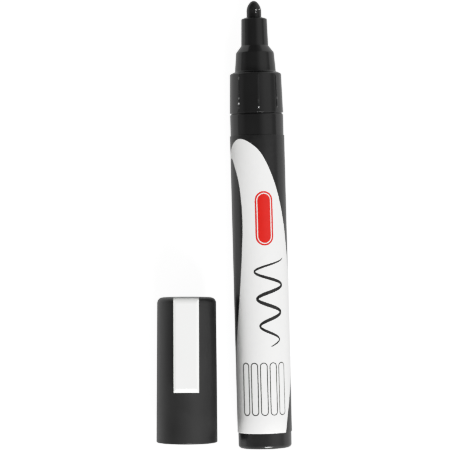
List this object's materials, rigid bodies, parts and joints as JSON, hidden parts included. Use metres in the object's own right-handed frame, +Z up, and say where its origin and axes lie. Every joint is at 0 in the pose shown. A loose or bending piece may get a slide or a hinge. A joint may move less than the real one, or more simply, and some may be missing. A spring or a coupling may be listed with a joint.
{
  "type": "liquid chalk marker",
  "caption": "Liquid chalk marker with a pump-action fibre nib, sprung valve and mixing ball in a straight barrel, and a clip cap laid beside it.",
  "frame": {"origin": "centre of the barrel's flat tail face, on the marker's axis; the marker lies on its side", "axes": "+Y along the marker from tail to nib, +Z up towards the printed side and the cap's clip, +X to the right with the cap on the -X side"},
  "size_m": [0.0387, 0.1272, 0.0192],
  "materials": {
    "barrel_plastic": "gloss black",
    "label_film": "semi-gloss printed film",
    "holder_plastic": "gloss black",
    "nib_fibre": "inked bonded fibre",
    "seat_rubber": "matt",
    "valve_plastic": "natural",
    "plunger_plastic": "natural",
    "spring_steel": "drawn wire",
    "ball_steel": "polished",
    "cap_plastic": "satin black",
    "seal_plastic": "natural",
    "clip_plastic": "gloss white"
  },
  "bodies": {
    "marker": {"barrel": "barrel_plastic", "label_sleeve": "label_film", "front_holder": "holder_plastic", "valve_seat": "seat_rubber", "valve_cage": "valve_plastic", "valve_spring": "spring_steel"},
    "nib": {"nib": "nib_fibre"},
    "valve_plunger": {"valve_plunger": "plunger_plastic"},
    "mixing_ball": {"mixing_ball": "ball_steel"},
    "cap": {"cap_shell": "cap_plastic", "cap_inner_seal": "seal_plastic"},
    "clip": {"cap_clip": "clip_plastic"}
  },
  "joints": [
    {"name": "nib_press", "type": "slide", "parent": "marker", "child": "nib", "axis": [0, -1, 0], "range_m": [0, 0.0025], "stiffness_N_per_m": 300, "springref_m": -0.002},
    {"name": "valve_plunge", "type": "slide", "parent": "marker", "child": "valve_plunger", "axis": [0, -1, 0], "range_m": [0, 0.0025], "deforming": ["valve_spring"]},
    {"name": "ball_shake", "type": "slide", "parent": "marker", "child": "mixing_ball", "axis": [0, 1, 0], "range_m": [0, 0.068]},
    {"name": "cap_slide", "type": "slide", "parent": "marker", "child": "cap", "axis": [0.0234, 0.9997, 0], "range_m": [0, 0.0325]},
    {"name": "clip_flex", "type": "hinge", "parent": "cap", "child": "clip", "pos_m": [-0.02127, 0.04254, 0.00593], "axis": [-0.9997, 0.0234, 0], "range_deg": [0, 3.5], "stiffness_Nm_per_rad": 0.3, "springref_deg": -1.15}
  ],
  "couplings": [
    {"joint": "valve_plunge", "follows": "nib_press", "ratio": 1}
  ]
}
